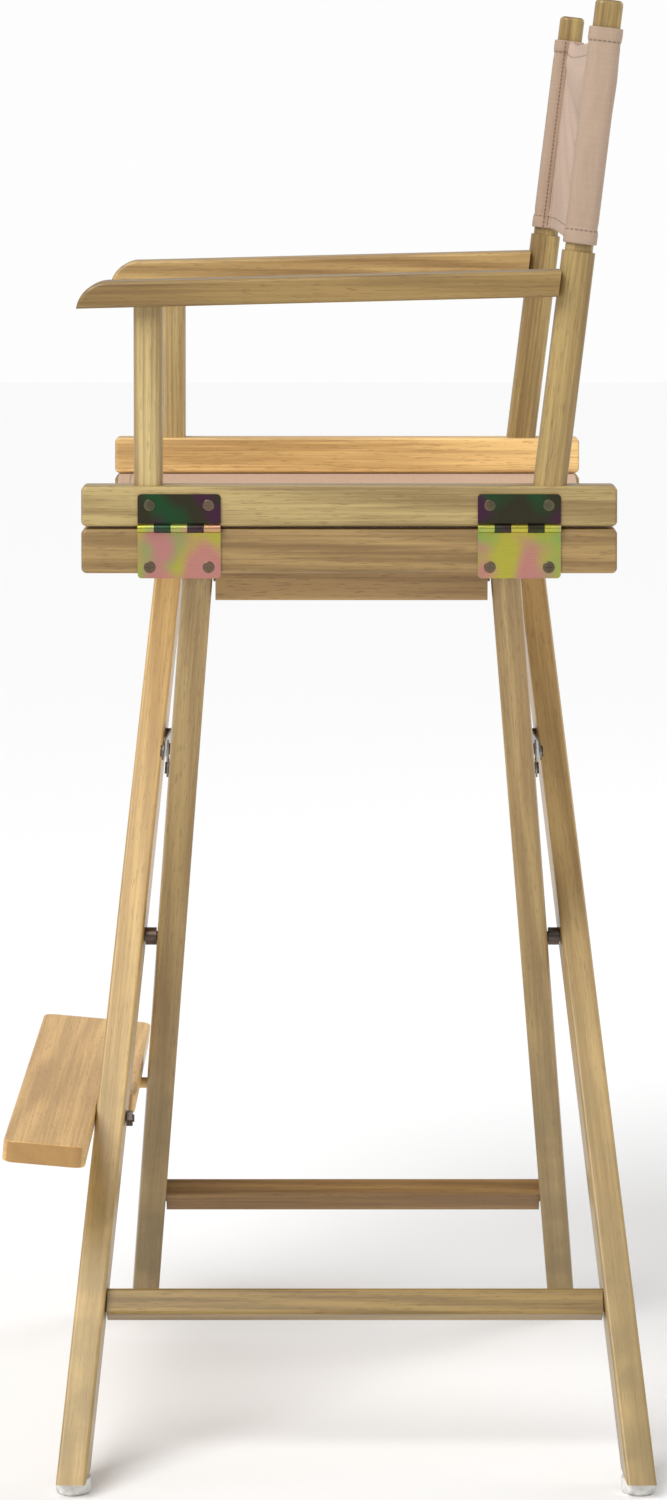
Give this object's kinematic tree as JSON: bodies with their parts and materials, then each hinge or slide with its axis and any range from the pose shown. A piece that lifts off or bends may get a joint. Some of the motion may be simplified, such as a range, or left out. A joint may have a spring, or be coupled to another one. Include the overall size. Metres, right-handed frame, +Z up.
{
  "type": "folding sling chair",
  "caption": "Tall folding wooden chair with crossed legs, canvas sling seat and back, flat arms and a footrest.",
  "frame": {"origin": "on the floor, in the middle of the width and of the overall depth", "axes": "+Z up, +X the sitter's left, the sitter faces -Y"},
  "size_m": [0.549, 0.5088, 1.1569],
  "materials": {
    "leg_wood": "light hardwood, clear satin lacquer",
    "rail_wood": "browner hardwood, clear satin lacquer",
    "arm_wood": "light hardwood, clear satin lacquer",
    "footrest_wood": "peach-toned hardwood, clear satin lacquer",
    "dowel_wood": "raw hardwood",
    "seat_cloth": "tan cotton canvas",
    "back_cloth": "tan cotton canvas",
    "hinge_zinc": "yellow zinc plated",
    "screw_steel": "bright zinc plated",
    "dark_steel": "dark oxide, satin",
    "stay_steel": "grey zinc plated",
    "glide_plastic": "off-white moulded plastic"
  },
  "bodies": {
    "inner_frame": {"inner_front_leg": "leg_wood", "inner_rear_leg": "leg_wood", "inner_stretcher": "leg_wood", "inner_glides": "glide_plastic", "inner_stay_screws": "dark_steel", "cross_bolts": "dark_steel", "cross_spacers": "dark_steel", "footrest_peg": "dowel_wood"},
    "outer_frame": {"outer_front_leg": "leg_wood", "outer_rear_leg": "leg_wood", "outer_stretcher": "leg_wood", "outer_glides": "glide_plastic", "outer_stay_screws": "dark_steel", "footrest_board": "footrest_wood", "footrest_bolt": "dark_steel", "footrest_nut": "dark_steel"},
    "left_rail": {"left_lower_rail": "rail_wood", "left_apron": "rail_wood", "left_apron_screws": "screw_steel", "left_top_pivot_bolts": "dark_steel", "left_top_pivot_washers": "dark_steel", "left_lower_hinge_leaves": "hinge_zinc", "left_hinge_pins": "hinge_zinc", "left_lower_hinge_screws": "screw_steel", "left_seat_dowel": "dowel_wood", "seat_canvas": "seat_cloth"},
    "right_rail": {"right_lower_rail": "rail_wood", "right_apron": "rail_wood", "right_apron_screws": "screw_steel", "right_top_pivot_bolts": "dark_steel", "right_top_pivot_washers": "dark_steel", "right_lower_hinge_leaves": "hinge_zinc", "right_hinge_pins": "hinge_zinc", "right_lower_hinge_screws": "screw_steel", "right_seat_dowel": "dowel_wood"},
    "left_arm": {"left_upper_rail": "rail_wood", "left_upper_hinge_leaves": "hinge_zinc", "left_upper_hinge_screws": "screw_steel", "left_front_post": "leg_wood", "left_rear_post": "arm_wood", "left_arm": "arm_wood", "left_arm_screw": "dark_steel"},
    "right_arm": {"right_upper_rail": "rail_wood", "right_upper_hinge_leaves": "hinge_zinc", "right_upper_hinge_screws": "screw_steel", "right_front_post": "leg_wood", "right_rear_post": "arm_wood", "right_arm": "arm_wood", "right_arm_screw": "dark_steel"},
    "left_sling": {"left_sling_sleeve": "back_cloth", "sling_panel": "back_cloth"},
    "right_sling": {"right_sling_sleeve": "back_cloth"},
    "front_inner_stay": {"front_inner_stay_link": "stay_steel", "front_inner_stay_rivet": "dark_steel"},
    "front_outer_stay": {"front_outer_stay_link": "stay_steel", "front_outer_stay_rivet": "dark_steel"},
    "rear_inner_stay": {"rear_inner_stay_link": "stay_steel", "rear_inner_stay_rivet": "dark_steel"},
    "rear_outer_stay": {"rear_outer_stay_link": "stay_steel", "rear_outer_stay_rivet": "dark_steel"}
  },
  "joints": [
    {"name": "frame_fold", "type": "hinge", "parent": "inner_frame", "child": "outer_frame", "pos_m": [0, 0.01572, 0.38738], "axis": [0, 1, 0], "range_deg": [0, 56], "deforming": ["seat_canvas", "sling_panel"]},
    {"name": "left_rail_level", "type": "hinge", "parent": "inner_frame", "child": "left_rail", "pos_m": [0.215, 0.01572, 0.714], "axis": [0, 1, 0], "range_deg": [0, 28]},
    {"name": "right_rail_level", "type": "hinge", "parent": "outer_frame", "child": "right_rail", "pos_m": [-0.215, 0.01572, 0.714], "axis": [0, 1, 0], "range_deg": [-28, 0]},
    {"name": "front_inner_stay_turn", "type": "hinge", "parent": "inner_frame", "child": "front_inner_stay", "pos_m": [0.10244, -0.11717, 0.543], "axis": [-0.0412, 0.9972, -0.0626], "range_deg": [0, 108.22]},
    {"name": "rear_inner_stay_turn", "type": "hinge", "parent": "inner_frame", "child": "rear_inner_stay", "pos_m": [0.10244, 0.15432, 0.543], "axis": [0.0458, 0.9965, 0.0695], "range_deg": [0, 108.22]},
    {"name": "front_outer_stay_turn", "type": "hinge", "parent": "outer_frame", "child": "front_outer_stay", "pos_m": [-0.10244, -0.15067, 0.543], "axis": [0.0412, 0.9972, -0.0626], "range_deg": [-108.22, 0]},
    {"name": "rear_outer_stay_turn", "type": "hinge", "parent": "outer_frame", "child": "rear_outer_stay", "pos_m": [-0.10244, 0.18782, 0.543], "axis": [-0.0458, 0.9965, 0.0695], "range_deg": [-108.22, 0]},
    {"name": "left_arm_fold", "type": "hinge", "parent": "left_rail", "child": "left_arm", "pos_m": [0.2675, 0.01572, 0.753], "axis": [0, 1, 0], "range_deg": [0, 180], "deforming": ["sling_panel", "left_sling_sleeve", "right_sling_sleeve"]},
    {"name": "right_arm_fold", "type": "hinge", "parent": "right_rail", "child": "right_arm", "pos_m": [-0.2675, 0.01572, 0.753], "axis": [0, -1, 0], "range_deg": [0, 180]},
    {"name": "left_sling_lift", "type": "slide", "parent": "left_rail", "child": "left_sling", "axis": [0, 0.1201, 0.9928], "range_m": [0, 0.2]},
    {"name": "right_sling_lift", "type": "slide", "parent": "right_rail", "child": "right_sling", "axis": [0, 0.1201, 0.9928], "range_m": [0, 0.2]}
  ],
  "couplings": [
    {"joint": "left_rail_level", "follows": "frame_fold", "ratio": 0.5},
    {"joint": "right_rail_level", "follows": "frame_fold", "ratio": -0.5},
    {"joint": "front_inner_stay_turn", "follows": "frame_fold", "ratio": 1.9325},
    {"joint": "rear_inner_stay_turn", "follows": "frame_fold", "ratio": 1.9325},
    {"joint": "front_outer_stay_turn", "follows": "frame_fold", "ratio": -1.9325},
    {"joint": "rear_outer_stay_turn", "follows": "frame_fold", "ratio": -1.9325},
    {"joint": "right_arm_fold", "follows": "left_arm_fold", "ratio": 1},
    {"joint": "left_sling_lift", "follows": "left_arm_fold", "m_per_rad": 0.06366},
    {"joint": "right_sling_lift", "follows": "left_arm_fold", "m_per_rad": 0.06366}
  ]
}
